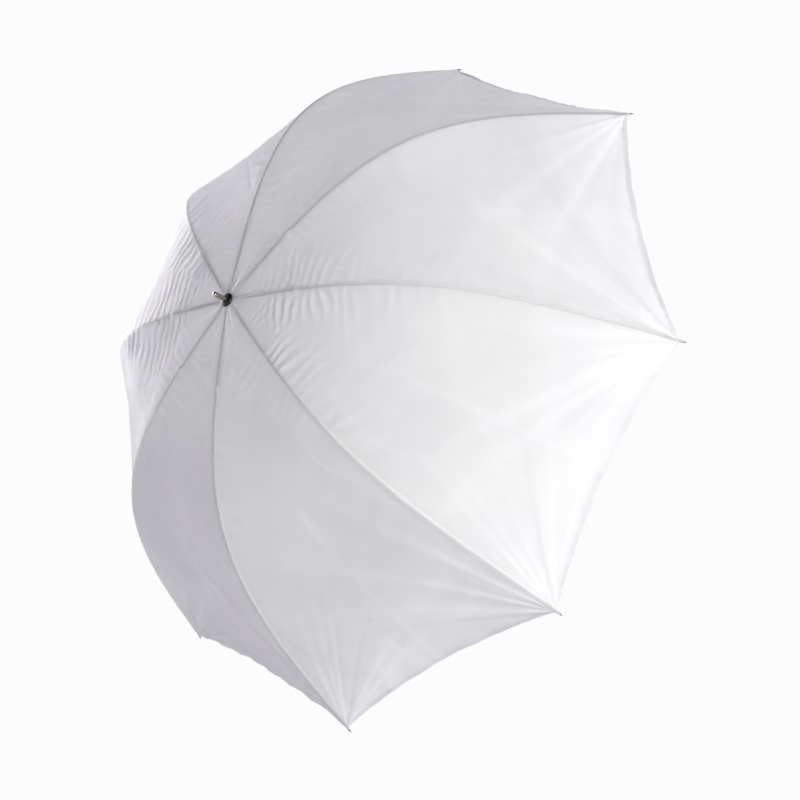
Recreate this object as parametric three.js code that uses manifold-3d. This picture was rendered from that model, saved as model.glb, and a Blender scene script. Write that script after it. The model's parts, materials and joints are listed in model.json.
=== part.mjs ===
// Umbrella reflector: a white shoot-through photographic umbrella on a slim steel shaft.
// Units are millimetres, +Z is up. The shaft lies along Y, the crown points to -Y and the
// origin is on the shaft's axis, where a light stand's umbrella holder grips it.
import * as THREE from 'three';
import { mergeVertices } from 'three/addons/utils/BufferGeometryUtils.js';
import Module from 'manifold-3d';

const wasm = await Module();
wasm.setup();

// ---------------------------------------------------------------- driving dimensions
const RIBS = 8;
const PITCH = 2 * Math.PI / RIBS;
const SPAN_R = 505;                       // shaft axis to the bead of a rib tip, umbrella open
const CROWN_Y = -640;                     // the cloth's apex, ahead of the grip
const SHAFT_END = 760;                    // apex to the tube's lower end

// The line that the cloth takes over a rib, as (radius, depth below the apex), in spans.
const LINE = [[0, 0], [0.610, 0.018], [0.728, 0.128], [1, 0.691]];
const STATIONS = 16;                      // straight steps along a rib, shared with the cloth

const CLOTH = 0.5;                        // thickness of the cloth's stand-in solid
const SEAM_GAP = 0.5;                     // between neighbouring gores, over the rib
const CLOTH_INNER_R = 5.2;                // hole in the cloth for the ferrule
const CLOTH_END = 5;                      // how far the cloth's corner stops short of the bead
const POINT_L = 4.5;                      // tip's point, beyond its bead
const HEM_SCALLOP = 0.018;                // hem's rise at mid gore, in the line's parameter
const CLOTH_SAG = 0.02;                   // mid gore's pull inwards, in gore widths
const GORE_COLUMNS = 4;

const TUBE_R = 4;
const TUBE_WALL = 0.5;
const GAP = 0.3;                          // between fixed pieces that touch on the real one
const SEGMENTS = 24;
const FINE_SEGMENTS = 8;                  // round faces of pins, tips and rivets

const RIB_W = 3;                          // rib channel: width, height, sheet thickness
const RIB_H = 2.6;
const SHEET = 0.5;
const RIB_DROP = 1.6;                     // cloth line to the channel's back
const RIB_START_R = 17;                   // where the channel begins
const RIB_END = 20;                       // rib end to the tip's bead
const TONGUE_T = 1.2;                     // flattened eye ends of ribs and stretchers
const EYE_R = 2;
const WIRE_R = 0.6;
const SLOT_W = 2.2;                       // slots in the crown and the runner

const HINGE_R = 9;                        // rib eyes, on the crown wire
const HINGE_S = 7;
const CROWN_R = 10.4;
const CROWN_TOP = 2.2;
const CROWN_BOTTOM = 12;

const JOINT_R = 124;                      // stretcher rivet on the rib
const STRETCHER_L = 148;                  // rivet to runner wire
const STRETCHER_H = 3;
const FORK_GAP = 3.6;
const FORK_WALL = 0.6;
const EAR_R = 1.9;
const RIVET_R = 1;
const RIVET_CLEAR = 0.3;

const RUNNER_PIVOT_R = 9.5;
const RUNNER_BORE = 4.4;
const RUNNER_R = 11.4;
const RUNNER_ABOVE = 6;                   // runner's top, above its wire
const RUNNER_SLOT = 15;                   // slots' reach below the wire
const RUNNER_HEAD = 17;
const RUNNER_LENGTH = 52;

const CATCH_T = 1.6;
const CATCH_SLOT = 2.4;
const CATCH_L = 30;
const PIN_R = 0.8;

// ---------------------------------------------------------------- finishes
const finish = (color, roughness, metalness) => () =>
  new THREE.MeshStandardMaterial({ color, roughness, metalness });
const whiteCloth = finish(0xeeeef2, 0.85, 0);
const chromedSteel = finish(0xc9cbcf, 0.22, 1);
const zincSteel = finish(0x8f9296, 0.38, 1);
const blackPlastic = finish(0x17171a, 0.45, 0);
const springSteel = finish(0xa9abad, 0.3, 1);

// ---------------------------------------------------------------- geometry helpers
function solid(geometry) {
  const bare = geometry.clone();
  bare.deleteAttribute('normal');
  bare.deleteAttribute('uv');
  const merged = mergeVertices(bare, 1e-4);
  const vertProperties = new Float32Array(merged.attributes.position.array);
  const triVerts = new Uint32Array(merged.index.array);
  return new wasm.Manifold(new wasm.Mesh({ numProp: 3, vertProperties, triVerts }));
}

function geometryOf(manifold) {
  const mesh = manifold.getMesh();
  const geometry = new THREE.BufferGeometry();
  geometry.setAttribute('position', new THREE.BufferAttribute(mesh.vertProperties, 3));
  geometry.setIndex(new THREE.BufferAttribute(mesh.triVerts, 1));
  geometry.computeVertexNormals();
  return geometry;
}

// A profile of (radius, depth) points turned about the shaft's axis. An open profile
// starts and ends on the axis; a closed one is a ring.
function turned(profile, { closed = false, segments = SEGMENTS } = {}) {
  const points = profile.map(([r, s]) => new THREE.Vector2(r, s));
  if (closed) points.push(points[0].clone());
  return facingOut(new THREE.LatheGeometry(points, segments));
}

// Turns a closed surface's faces round if they point inwards.
function facingOut(geometry) {
  const bare = geometry.clone();
  bare.deleteAttribute('normal');
  bare.deleteAttribute('uv');
  const merged = mergeVertices(bare, 1e-4);
  const p = merged.attributes.position;
  const index = dropThinFaces(merged.index.array);
  const [a, b, c] = [new THREE.Vector3(), new THREE.Vector3(), new THREE.Vector3()];
  let volume = 0;
  for (let i = 0; i < index.length; i += 3) {
    a.fromBufferAttribute(p, index[i]);
    b.fromBufferAttribute(p, index[i + 1]);
    c.fromBufferAttribute(p, index[i + 2]);
    volume += a.dot(b.cross(c));
  }
  if (volume < 0) {
    for (let i = 0; i < index.length; i += 3) [index[i], index[i + 1]] = [index[i + 1], index[i]];
  }
  merged.setIndex(index);
  merged.computeVertexNormals();
  return merged;
}

function dropThinFaces(index) {
  const kept = [];
  for (let i = 0; i < index.length; i += 3) {
    const [a, b, c] = [index[i], index[i + 1], index[i + 2]];
    if (a !== b && b !== c && c !== a) kept.push(a, b, c);
  }
  return kept;
}

// A flat side outline in (radius, depth), given a thickness across the rib's plane.
function plate(shape, thickness) {
  const geometry = new THREE.ExtrudeGeometry(shape, {
    depth: thickness, bevelEnabled: false, curveSegments: FINE_SEGMENTS,
  });
  return geometry.translate(0, 0, -thickness / 2).rotateY(-Math.PI / 2);
}

const outline = (points) => new THREE.Shape(points.map(([r, s]) => new THREE.Vector2(r, s)));

// A round pin along the tangent direction, at (radius, depth) in the rib's plane.
function crossPin(radius, length, r, s) {
  return new THREE.CylinderGeometry(radius, radius, length, FINE_SEGMENTS)
    .rotateZ(Math.PI / 2).translate(0, s, r);
}

// ---------------------------------------------------------------- the canopy's line
const line = new THREE.CubicBezierCurve(
  ...LINE.map(([r, s]) => new THREE.Vector2(r * SPAN_R, s * SPAN_R)));

// The point at parameter t, moved in by an offset along the cloth's inward normal.
function offsetPoint(t, offset) {
  const point = line.getPoint(t);
  const tangent = line.getTangent(t);
  return [point.x - tangent.y * offset, point.y + tangent.x * offset];
}

// The parameter at which the line reaches a radius.
function paramAtRadius(radius) {
  let [low, high] = [0, 1];
  for (let i = 0; i < 50; i++) {
    const middle = (low + high) / 2;
    if (line.getPoint(middle).x < radius) low = middle; else high = middle;
  }
  return low;
}

// The parameter that leaves a given length of line beyond it.
function paramBeforeEnd(length) {
  const samples = 2000;
  let [t, left] = [1, length];
  while (left > 0) {
    left -= line.getPoint(t).distanceTo(line.getPoint(t - 1 / samples));
    t -= 1 / samples;
  }
  return t;
}

const tStart = paramAtRadius(RIB_START_R);
const tClothEnd = paramBeforeEnd(CLOTH_END);
const tRibEnd = paramBeforeEnd(RIB_END);
const stationParam = (i) => tStart + (tRibEnd - tStart) * i / STATIONS;
const ribParams = Array.from({ length: STATIONS + 1 }, (_, i) => stationParam(i));

const ribCentre = RIB_DROP + RIB_H / 2;
const jointPoint = offsetPoint(paramAtRadius(JOINT_R), ribCentre);
const runnerWireS = jointPoint[1]
  + Math.sqrt(STRETCHER_L ** 2 - (jointPoint[0] - RUNNER_PIVOT_R) ** 2);

// ---------------------------------------------------------------- shaft and its fittings
const catchTop = runnerWireS - RUNNER_ABOVE + RUNNER_LENGTH + GAP;
const catchPinS = catchTop + CATCH_L;
const stopS = runnerWireS - RUNNER_ABOVE - GAP - PIN_R;

function shaftTube() {
  const inner = TUBE_R - TUBE_WALL;
  const tube = solid(turned(
    [[inner, 1], [TUBE_R, 1], [TUBE_R, SHAFT_END], [inner, SHAFT_END]], { closed: true }));
  const catchSlot = solid(new THREE.BoxGeometry(CATCH_SLOT, CATCH_L + 1, TUBE_R)
    .translate(0, catchTop + CATCH_L / 2 - 0.5, TUBE_R));
  const hole = PIN_R + GAP;
  return geometryOf(tube.subtract(catchSlot)
    .subtract(solid(crossPin(hole, 4 * TUBE_R, 0, stopS)))
    .subtract(solid(crossPin(hole, 4 * TUBE_R, 0, catchPinS))));
}

// Bright rod that stands out of the crown, plugged into the tube.
function ferrule() {
  const plug = TUBE_R - TUBE_WALL - GAP;
  return turned([[0, 18], [plug, 18], [plug, 1], [3.5, 0.6], [3.5, -22.6], [3.1, -24.6],
    [1.9, -25.8], [0, -26.2]]);
}

// Black cup that presses the cloth down on the crown.
function topCap() {
  return turned([[9.5, -0.3], [9.6, -1.6], [8.9, -3.1], [7.2, -4.2], [5.4, -4.8], [3.8, -5],
    [3.8, -3.6], [5, -3.4], [6.8, -2.8], [7.8, -1.6], [8, -0.3]], { closed: true });
}

// A hub with a wire groove and one slot for each rib or stretcher.
function slottedHub(profile, wireR, wireS, slotFloorR, slotTop, slotBottom) {
  const groove = [[wireR - 0.9, wireS - 0.95], [wireR + 4, wireS - 0.95],
    [wireR + 4, wireS + 0.95], [wireR - 0.9, wireS + 0.95]];
  let hub = solid(turned(profile, { closed: true }))
    .subtract(solid(turned(groove, { closed: true })));
  const depth = slotBottom - slotTop;
  for (let i = 0; i < RIBS; i++) {
    const slot = new THREE.BoxGeometry(SLOT_W, depth, 12)
      .translate(0, slotTop + depth / 2, slotFloorR + 6).rotateY(i * PITCH);
    hub = hub.subtract(solid(slot));
  }
  return geometryOf(hub);
}

function crown() {
  const bore = TUBE_R + GAP;
  const profile = [[bore, CROWN_TOP], [CROWN_R, CROWN_TOP], [CROWN_R, CROWN_BOTTOM],
    [6.6, CROWN_BOTTOM + 5], [bore, CROWN_BOTTOM + 5]];
  return slottedHub(profile, HINGE_R, HINGE_S, 6.2, CROWN_TOP - 1, CROWN_BOTTOM + 6);
}

function wireRing(radius, s) {
  const profile = [];
  for (let i = 0; i < 6; i++) {
    const angle = i * Math.PI / 3;
    profile.push([radius + WIRE_R * Math.cos(angle), s + WIRE_R * Math.sin(angle)]);
  }
  return turned(profile, { closed: true });
}

function runner() {
  const top = runnerWireS - RUNNER_ABOVE;
  const bottom = top + RUNNER_LENGTH;
  const head = runnerWireS + RUNNER_HEAD;
  const profile = [[RUNNER_BORE, top], [8.4, top], [RUNNER_R, top + 3], [RUNNER_R, head - 2],
    [10.2, head], [6.8, head + 1.5], [6.4, bottom - 8], [8.6, bottom - 5], [8.6, bottom - 1],
    [7.8, bottom], [RUNNER_BORE, bottom]];
  return slottedHub(profile, RUNNER_PIVOT_R, runnerWireS, 6, top - 1,
    runnerWireS + RUNNER_SLOT);
}

const stopPin = () => crossPin(PIN_R, 13, 0, stopS);
const catchPin = () => crossPin(PIN_R, 2 * TUBE_R, 0, catchPinS);

// Sprung lever in the tube: its square nose stands out just below the open runner, and its
// sloping back lets the runner slide over it when the umbrella is opened.
function topCatch() {
  const s = catchTop + GAP;
  const shape = outline([[6.6, s], [2.6, s], [-1.2, catchPinS - 2.4], [-1.2, catchPinS + 2],
    [1.6, catchPinS + 2], [2.6, catchPinS - 8], [3.4, s + 13], [7, s + 2.4]]);
  const lever = solid(plate(shape, CATCH_T));
  return geometryOf(lever.subtract(solid(crossPin(PIN_R + GAP, 4, 0, catchPinS))));
}

function endPlug() {
  const plug = TUBE_R - TUBE_WALL - GAP;
  const end = SHAFT_END + GAP;
  return turned([[0, SHAFT_END - 16], [plug, SHAFT_END - 16], [plug, end], [4.8, end],
    [4.8, end + 3], [4.2, end + 4], [0, end + 4]]);
}

// ---------------------------------------------------------------- ribs and stretchers
// One side outline along the line, between two offsets below the cloth.
function ribStrip(near, far) {
  const back = ribParams.map((t) => offsetPoint(t, near));
  const front = ribParams.map((t) => offsetPoint(t, far)).reverse();
  return outline([...back, ...front]);
}

// A flattened tongue with an eye for the wire, from the eye to the channel.
function eyeTongue(eye, far, halfHeight) {
  const [dr, ds] = [far[0] - eye[0], far[1] - eye[1]];
  const angle = Math.atan2(ds, dr);
  const side = angle + Math.PI / 2;
  const offset = [Math.cos(side) * halfHeight, Math.sin(side) * halfHeight];
  const shape = new THREE.Shape();
  shape.moveTo(far[0] + offset[0], far[1] + offset[1]);
  shape.absarc(eye[0], eye[1], EYE_R, side, side + Math.PI, false);
  shape.lineTo(far[0] - offset[0], far[1] - offset[1]);
  shape.closePath();
  const hole = new THREE.Path();
  hole.absarc(eye[0], eye[1], WIRE_R + 0.35, 0, 2 * Math.PI, true);
  shape.holes.push(hole);
  return plate(shape, TONGUE_T);
}

// Steel channel, open to the inside of the canopy, with its eye on the crown wire.
function rib() {
  const channel = solid(plate(ribStrip(RIB_DROP, RIB_DROP + RIB_H), RIB_W))
    .subtract(solid(plate(ribStrip(RIB_DROP + SHEET, RIB_DROP + RIB_H + 1), RIB_W - 2 * SHEET)));
  const root = offsetPoint(ribParams[1], RIB_DROP + 0.9);
  const tongue = solid(eyeTongue([HINGE_R, HINGE_S], root, 0.7));
  const rivetHole = solid(crossPin(RIVET_R + RIVET_CLEAR, RIB_W + 2, ...jointPoint));
  return geometryOf(channel.add(tongue).subtract(rivetHole));
}

// Bright point at the end of a rib, in line with it and tilted a little outwards.
function ribTip() {
  const from = new THREE.Vector2(...offsetPoint(tRibEnd, ribCentre));
  const bead = new THREE.Vector2(...offsetPoint(1, 1));
  const b = from.distanceTo(bead);
  const profile = [[0, GAP], [1.25, GAP], [1.25, 7], [0.85, 8.5], [0.85, b - 2.2],
    [1.35, b - 1.1], [1.35, b + 0.7], [0.75, b + 1.6], [0.6, b + POINT_L - 0.5],
    [0, b + POINT_L]];
  const lean = Math.atan2(bead.x - from.x, bead.y - from.y);
  return turned(profile, { segments: FINE_SEGMENTS }).rotateX(lean).translate(0, from.y, from.x);
}

function stretcherPoint(along, across) {
  const [j, end] = [jointPoint, [RUNNER_PIVOT_R, runnerWireS]];
  const [ur, us] = [(end[0] - j[0]) / STRETCHER_L, (end[1] - j[1]) / STRETCHER_L];
  return [j[0] + ur * along - us * across, j[1] + us * along + ur * across];
}

const stretcherStrip = (from, to, half) => outline([
  stretcherPoint(from, -half), stretcherPoint(to, -half),
  stretcherPoint(to, half), stretcherPoint(from, half)]);

// The open hook that lies over the runner's wire. Its mouth faces the canopy.
function hook() {
  const [r, s] = [RUNNER_PIVOT_R, runnerWireS];
  const along = Math.atan2(s - jointPoint[1], r - jointPoint[0]);
  const mouth = along + Math.PI * 0.53;
  const halfMouth = Math.PI * 0.39;
  const [inner, outer] = [WIRE_R + 0.35, WIRE_R + 1.4];
  const shape = new THREE.Shape();
  shape.absarc(r, s, outer, mouth + halfMouth, mouth + 2 * Math.PI - halfMouth, false);
  shape.absarc(r, s, inner, mouth + 2 * Math.PI - halfMouth, mouth + halfMouth, true);
  shape.closePath();
  return plate(shape, TONGUE_T);
}

// Steel bar with a fork that straddles the rib at one end and a hook at the other.
function stretcher() {
  const half = STRETCHER_H / 2;
  const forkW = FORK_GAP + 2 * FORK_WALL;
  const tongueStart = STRETCHER_L - 14;
  const fork = solid(plate(stretcherStrip(0, 20, half), forkW))
    .add(solid(crossPin(EAR_R, forkW, ...jointPoint)))
    .subtract(solid(plate(stretcherStrip(-4, 14, half + 1), FORK_GAP)));
  const bar = solid(plate(stretcherStrip(16, tongueStart, half), RIB_W))
    .subtract(solid(plate(stretcherStrip(24, tongueStart - 4, half + 1), RIB_W - 2 * SHEET)))
    .add(solid(plate(outline([stretcherPoint(15, half - SHEET),
      stretcherPoint(tongueStart, half - SHEET), stretcherPoint(tongueStart, half),
      stretcherPoint(15, half)]), RIB_W)));
  const tongue = solid(plate(stretcherStrip(tongueStart - 2, STRETCHER_L - 1.2, 1), TONGUE_T))
    .subtract(solid(crossPin(WIRE_R + 0.9, 4, RUNNER_PIVOT_R, runnerWireS)));
  const rivetHole = solid(crossPin(RIVET_R + RIVET_CLEAR, forkW + 2, ...jointPoint));
  return geometryOf(fork.add(bar).add(tongue).add(solid(hook())).subtract(rivetHole));
}

// Rivet through the fork and the rib, with a head outside each ear.
function jointRivet() {
  const half = FORK_GAP / 2 + FORK_WALL + GAP;
  const profile = [[0, -half - 0.7], [1.4, -half - 0.6], [EAR_R, -half], [RIVET_R, -half],
    [RIVET_R, half], [EAR_R, half], [1.4, half + 0.6], [0, half + 0.7]];
  return turned(profile, { segments: FINE_SEGMENTS }).rotateZ(Math.PI / 2)
    .translate(0, jointPoint[1], jointPoint[0]);
}

// ---------------------------------------------------------------- cloth
// Cloth stations: a few under the crown cap, then the ribs' own, up to the hem.
const clothParams = [paramAtRadius(CLOTH_INNER_R), ...ribParams, tClothEnd];

// A point of the gore between two ribs: u counts stations, v runs from 0 to 1 across.
function gorePoint(u, v, offset) {
  const bow = 4 * v * (1 - v);
  const last = clothParams[clothParams.length - 1];
  const t = clothParams[u] - HEM_SCALLOP * bow * (clothParams[u] / last) ** 6;
  const centre = line.getPoint(t);
  const sag = offset + CLOTH_SAG * bow * centre.x * 2 * Math.sin(PITCH / 2);
  const [r, s] = offsetPoint(t, sag);
  const edge = SEAM_GAP / 2;
  const near = new THREE.Vector3(edge, s, r);
  const far = new THREE.Vector3(-edge, s, r).applyAxisAngle(new THREE.Vector3(0, 1, 0), PITCH);
  return near.lerp(far, v);
}

// One triangular panel of cloth, as a thin closed shell between two ribs' planes.
function gore() {
  const rows = clothParams.length;
  const columns = GORE_COLUMNS + 1;
  const positions = [];
  for (const offset of [0, CLOTH]) {
    for (let u = 0; u < rows; u++) {
      for (let j = 0; j < columns; j++) {
        positions.push(...gorePoint(u, j / GORE_COLUMNS, offset).toArray());
      }
    }
  }
  const id = (side, u, j) => side * rows * columns + u * columns + j;
  const index = [];
  const quad = (a, b, c, d) => index.push(a, b, c, a, c, d);
  for (let u = 0; u < rows - 1; u++) {
    for (let j = 0; j < columns - 1; j++) {
      quad(id(0, u, j), id(0, u, j + 1), id(0, u + 1, j + 1), id(0, u + 1, j));
      quad(id(1, u, j), id(1, u + 1, j), id(1, u + 1, j + 1), id(1, u, j + 1));
    }
    quad(id(0, u, 0), id(0, u + 1, 0), id(1, u + 1, 0), id(1, u, 0));
    const j = columns - 1;
    quad(id(0, u, j), id(1, u, j), id(1, u + 1, j), id(0, u + 1, j));
  }
  for (let j = 0; j < columns - 1; j++) {
    quad(id(0, 0, j), id(1, 0, j), id(1, 0, j + 1), id(0, 0, j + 1));
    const u = rows - 1;
    quad(id(0, u, j), id(0, u, j + 1), id(1, u, j + 1), id(1, u, j));
  }
  const geometry = new THREE.BufferGeometry();
  geometry.setAttribute('position', new THREE.Float32BufferAttribute(positions, 3));
  geometry.setIndex(index);
  return facingOut(geometry);
}

// ---------------------------------------------------------------- assembly
const umbrella = new THREE.Group();
umbrella.position.y = CROWN_Y;

function place(name, geometry, material, turn = 0) {
  const mesh = new THREE.Mesh(geometry, material());
  mesh.name = name;
  mesh.rotation.y = turn;
  umbrella.add(mesh);
}

place('shaft_tube', shaftTube(), chromedSteel);
place('ferrule', ferrule(), chromedSteel);
place('top_cap', topCap(), blackPlastic);
place('crown', crown(), blackPlastic);
place('crown_wire', wireRing(HINGE_R, HINGE_S), zincSteel);
place('stop_pin', stopPin(), zincSteel);
place('runner', runner(), blackPlastic);
place('runner_wire', wireRing(RUNNER_PIVOT_R, runnerWireS), zincSteel);
place('top_catch', topCatch(), springSteel);
place('catch_pin', catchPin(), zincSteel);
place('end_plug', endPlug(), blackPlastic);

const repeated = [
  ['rib', rib(), zincSteel],
  ['rib_tip', ribTip(), zincSteel],
  ['stretcher', stretcher(), zincSteel],
  ['joint_rivet', jointRivet(), zincSteel],
  ['gore', gore(), whiteCloth],
];
for (let i = 0; i < RIBS; i++) {
  for (const [name, geometry, material] of repeated) {
    place(`${name}_${i + 1}`, geometry, material, i * PITCH);
  }
}

export default umbrella;
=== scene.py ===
# %% [markdown]
# # A shoot-through umbrella reflector
#
# A photographer's umbrella is eight triangles of thin white nylon, sewn edge to edge and
# stretched over eight steel ribs. Light passes through the cloth and leaves it soft.
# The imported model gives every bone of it: shaft, crown, ribs, stretchers and runner.
# This lesson sews the cloth around those bones, gives the metal and plastic their
# finishes, and lights the whole as a studio would.

# %% Open the frame
import json
import math

import bmesh
import bpy
import numpy as np
from mathutils import Matrix, Vector

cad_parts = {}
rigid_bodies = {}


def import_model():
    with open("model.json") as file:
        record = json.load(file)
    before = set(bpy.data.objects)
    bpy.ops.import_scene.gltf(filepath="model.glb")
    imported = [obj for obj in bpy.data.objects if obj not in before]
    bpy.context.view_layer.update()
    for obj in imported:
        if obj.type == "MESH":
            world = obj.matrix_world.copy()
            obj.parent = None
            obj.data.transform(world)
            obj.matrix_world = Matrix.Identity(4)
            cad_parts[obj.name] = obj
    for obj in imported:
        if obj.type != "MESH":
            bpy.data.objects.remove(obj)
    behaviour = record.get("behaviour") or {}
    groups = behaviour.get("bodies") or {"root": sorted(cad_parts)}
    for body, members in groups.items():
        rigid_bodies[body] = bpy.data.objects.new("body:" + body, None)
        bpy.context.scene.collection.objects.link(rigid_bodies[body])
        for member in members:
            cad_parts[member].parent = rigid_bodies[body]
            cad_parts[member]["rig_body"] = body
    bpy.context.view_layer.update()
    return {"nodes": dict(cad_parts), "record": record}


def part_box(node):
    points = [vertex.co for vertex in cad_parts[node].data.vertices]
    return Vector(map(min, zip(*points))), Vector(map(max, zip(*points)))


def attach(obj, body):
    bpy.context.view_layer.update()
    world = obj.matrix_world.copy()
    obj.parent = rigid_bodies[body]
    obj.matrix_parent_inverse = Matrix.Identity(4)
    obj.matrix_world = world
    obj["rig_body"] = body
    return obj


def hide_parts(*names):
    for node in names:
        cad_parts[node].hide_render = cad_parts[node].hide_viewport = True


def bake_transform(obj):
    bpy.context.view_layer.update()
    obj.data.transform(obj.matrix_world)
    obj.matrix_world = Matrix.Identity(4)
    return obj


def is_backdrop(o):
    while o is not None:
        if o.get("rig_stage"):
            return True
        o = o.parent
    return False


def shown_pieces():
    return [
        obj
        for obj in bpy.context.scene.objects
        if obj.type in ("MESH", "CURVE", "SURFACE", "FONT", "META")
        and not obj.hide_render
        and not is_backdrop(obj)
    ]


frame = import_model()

# %% [markdown]
# ## Sizes
#
# The cloth, the ribs and the tips all follow one line: the curve that a rib takes when
# the umbrella is open. It is a cubic curve in two numbers, the distance from the shaft
# and the depth behind the apex. Everything is worked out in metres, in the frame's own
# axes: the shaft lies along Y, the crown points to -Y and the first rib points up.

# %% Sizes that drive the model
MM = 0.001
SPAN = 0.505
RIBS = 8
PITCH = 2 * math.pi / RIBS
LINE = np.array([[0, 0], [0.610, 0.018], [0.728, 0.128], [1, 0.691]]) * SPAN
CROWN_TOP = 2.2 * MM             # from the apex down to the crown
JOINT_RADIUS = 124 * MM          # the stretcher joint's distance from the shaft
APEX_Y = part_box("crown")[0].y - CROWN_TOP
print("apex at y =", round(APEX_Y, 4), "and span", SPAN)


def line_at(t):
    """Distance from the shaft, and depth, at parameter t of the rib's line."""
    t = np.asarray(t, float)[..., None]
    weights = ((1 - t) ** 3, 3 * (1 - t) ** 2 * t, 3 * (1 - t) * t ** 2, t ** 3)
    return sum(w * point for w, point in zip(weights, LINE))


STEPS = np.linspace(0, 1, 4001)
LENGTHS = np.concatenate([[0], np.cumsum(np.linalg.norm(np.diff(line_at(STEPS), axis=0), axis=1))])
RIB_LENGTH = LENGTHS[-1]
print("length of the line from the apex to a tip:", round(RIB_LENGTH, 4))


def line_point(length, inward=0.0):
    """The line's point at a length from the apex, moved towards the inside of the canopy."""
    t = np.interp(length, LENGTHS, STEPS)
    ahead = line_at(np.minimum(t + 1e-4, 1)) - line_at(np.maximum(t - 1e-4, 0))
    tangent = ahead / np.linalg.norm(ahead, axis=-1, keepdims=True)
    normal = np.stack([-tangent[..., 1], tangent[..., 0]], axis=-1)
    return line_at(t) + normal * np.asarray(inward, float)[..., None]


def in_frame(radius, depth, angle):
    """A point of the frame, from its distance from the shaft, its depth and its angle
    about the shaft, counted from the top towards +X."""
    radius, depth, angle = np.broadcast_arrays(radius, depth, angle)
    return np.stack([radius * np.sin(angle), APEX_Y + depth, radius * np.cos(angle)], axis=-1)


# %% [markdown]
# ## Small helpers
#
# Each piece starts as a bmesh and becomes an object at the origin, with its place in its
# mesh. Materials are node trees, and one function adds a node with its settings and
# links, so that each finish reads as a short list.

# %% Helpers for pieces and materials
def piece_from(mesh_builder, name, material, smooth=True, sharp_angle=35):
    """Turns a bmesh into an object with one material, smooth except at sharp edges."""
    mesh = bpy.data.meshes.new(name)
    mesh_builder.to_mesh(mesh)
    mesh_builder.free()
    mesh.materials.append(material)
    if smooth:
        mesh.shade_smooth()
        mesh.set_sharp_from_angle(angle=math.radians(sharp_angle))
    piece = bpy.data.objects.new(name, mesh)
    bpy.context.scene.collection.objects.link(piece)
    return piece


def turned_copy(piece, name, angle):
    """A copy of a piece, turned about the shaft."""
    mesh = piece.data.copy()
    mesh.name = name
    mesh.transform(Matrix.Rotation(angle, 4, "Y"))
    copy = bpy.data.objects.new(name, mesh)
    bpy.context.scene.collection.objects.link(copy)
    return copy


def stand_in(piece, body, node, slot):
    """Rides a piece on a body, in the place of one of the frame's parts."""
    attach(piece, body)
    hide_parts(node)


def ring_of_copies(first, name):
    """The first piece and its turned copies, one for each rib, with their numbers."""
    yield 1, first
    for number in range(2, RIBS + 1):
        yield number, turned_copy(first, f"{name}_{number}", (number - 1) * PITCH)


def linear(hex_code):
    """An sRGB hex colour as the linear colour that shaders use."""
    channels = [int(hex_code[i:i + 2], 16) / 255 for i in (1, 3, 5)]
    return [c / 12.92 if c <= 0.04045 else ((c + 0.055) / 1.055) ** 2.4 for c in channels] + [1]


def add_node(tree, kind, inputs=None, links=None, **settings):
    """Adds a node, sets its properties and input values, and links its inputs."""
    node = tree.nodes.new(kind)
    for name, value in settings.items():
        setattr(node, name, value)
    for name, value in (inputs or {}).items():
        node.inputs[name].default_value = value
    for name, source in (links or {}).items():
        tree.links.new(source, node.inputs[name])
    return node


def new_material(name):
    """An empty node material and its output."""
    material = bpy.data.materials.new(name)
    material.use_nodes = True
    material.node_tree.nodes.clear()
    return material, material.node_tree, material.node_tree.nodes.new("ShaderNodeOutputMaterial")


# %% [markdown]
# ## Nylon taffeta
#
# The canopy is plain-woven nylon, calendered smooth and a little shiny, so thin that
# most of the light that enters it leaves on the far side. A Translucent shader
# mixed with an ordinary one does that, and it also lets the ribs show through as grey
# lines, because they block the light that comes from inside. The thread spacing is
# 0.12 mm, too fine to see from a few metres, so the weave is drawn at 0.9 mm. Two lines
# of stitches follow the edges, and long soft creases remain from the folded packing.
# Patterns read the cloth's own map, which is in metres across and along each panel.

# %% Nylon taffeta
WEAVE = 0.9 * MM
STITCH_PITCH = 4 * MM
SEAM_STITCH = 4.6 * MM
HEM_STITCH = 8 * MM


def stitch_line(tree, distance, along, place):
    """1 on the stitches of a line that runs at a given distance from an edge."""
    offset = add_node(tree, "ShaderNodeMath", {1: place}, {0: distance}, operation="SUBTRACT")
    side = add_node(tree, "ShaderNodeMath", links={0: offset.outputs[0]}, operation="ABSOLUTE")
    near = add_node(tree, "ShaderNodeMath", {1: 0.45 * MM}, {0: side.outputs[0]},
                    operation="LESS_THAN")
    step = add_node(tree, "ShaderNodeMath", {1: 1 / STITCH_PITCH}, {0: along},
                    operation="MULTIPLY")
    part = add_node(tree, "ShaderNodeMath", links={0: step.outputs[0]}, operation="FRACT")
    thread = add_node(tree, "ShaderNodeMath", {1: 0.62}, {0: part.outputs[0]},
                      operation="LESS_THAN")
    return add_node(tree, "ShaderNodeMath", links={0: near.outputs[0], 1: thread.outputs[0]},
                    operation="MULTIPLY").outputs[0]


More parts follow.
